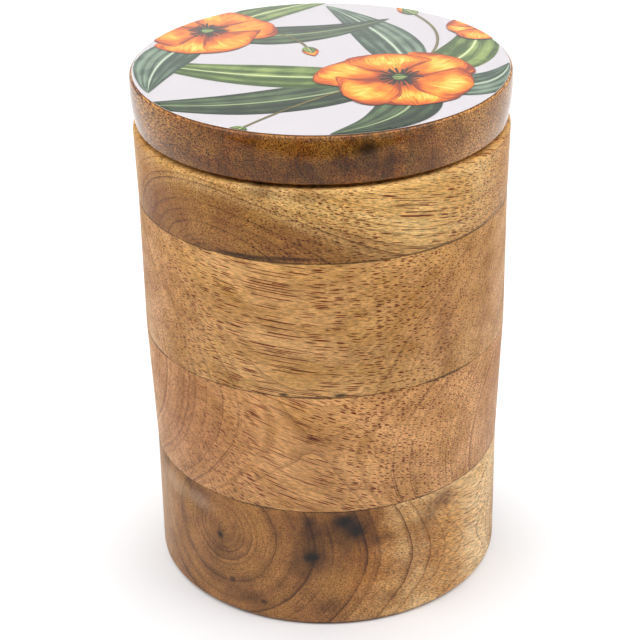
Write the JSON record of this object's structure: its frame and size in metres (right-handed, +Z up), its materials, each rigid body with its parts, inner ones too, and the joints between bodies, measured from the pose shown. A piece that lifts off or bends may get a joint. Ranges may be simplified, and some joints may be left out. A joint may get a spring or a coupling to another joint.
{
  "type": "wooden storage jar",
  "caption": "Round wooden storage jar of glued turned blocks, with a lift-off plug lid, a ribbed seal and a printed lid top.",
  "frame": {"origin": "middle of the underside, on the surface that the jar stands on", "axes": "+Z up along the turning axis, from the underside to the lid; the jar is round, so +X and +Y are free, and the picture looks along +Y"},
  "size_m": [0.1146, 0.1146, 0.1654],
  "materials": {
    "wood_base": "satin lacquer, darker wood with stains",
    "wood_lower": "satin lacquer",
    "wood_middle": "satin lacquer",
    "wood_rim": "satin lacquer",
    "wood_lid": "satin lacquer, dark heartwood",
    "wood_plug": "satin lacquer",
    "silicone": "milky translucent silicone",
    "printed_paper": "printed sheet, orange and green plant print on white",
    "clear_resin": "clear gloss resin"
  },
  "bodies": {
    "jar": {"base_block": "wood_base", "lower_ring": "wood_lower", "middle_ring": "wood_middle", "rim_ring": "wood_rim"},
    "seal": {"seal_ring": "silicone"},
    "lid": {"lid_disc": "wood_lid", "lid_plug": "wood_plug", "print_sheet": "printed_paper", "clear_coat": "clear_resin"}
  },
  "joints": [
    {"name": "lid_lift", "type": "slide", "parent": "jar", "child": "seal", "axis": [0, 0, 1], "range_m": [0, 0.06]},
    {"name": "lid_turn", "type": "hinge", "parent": "seal", "child": "lid", "pos_m": [0, 0, 0.1485], "axis": [0, 0, 1], "continuous": true}
  ]
}
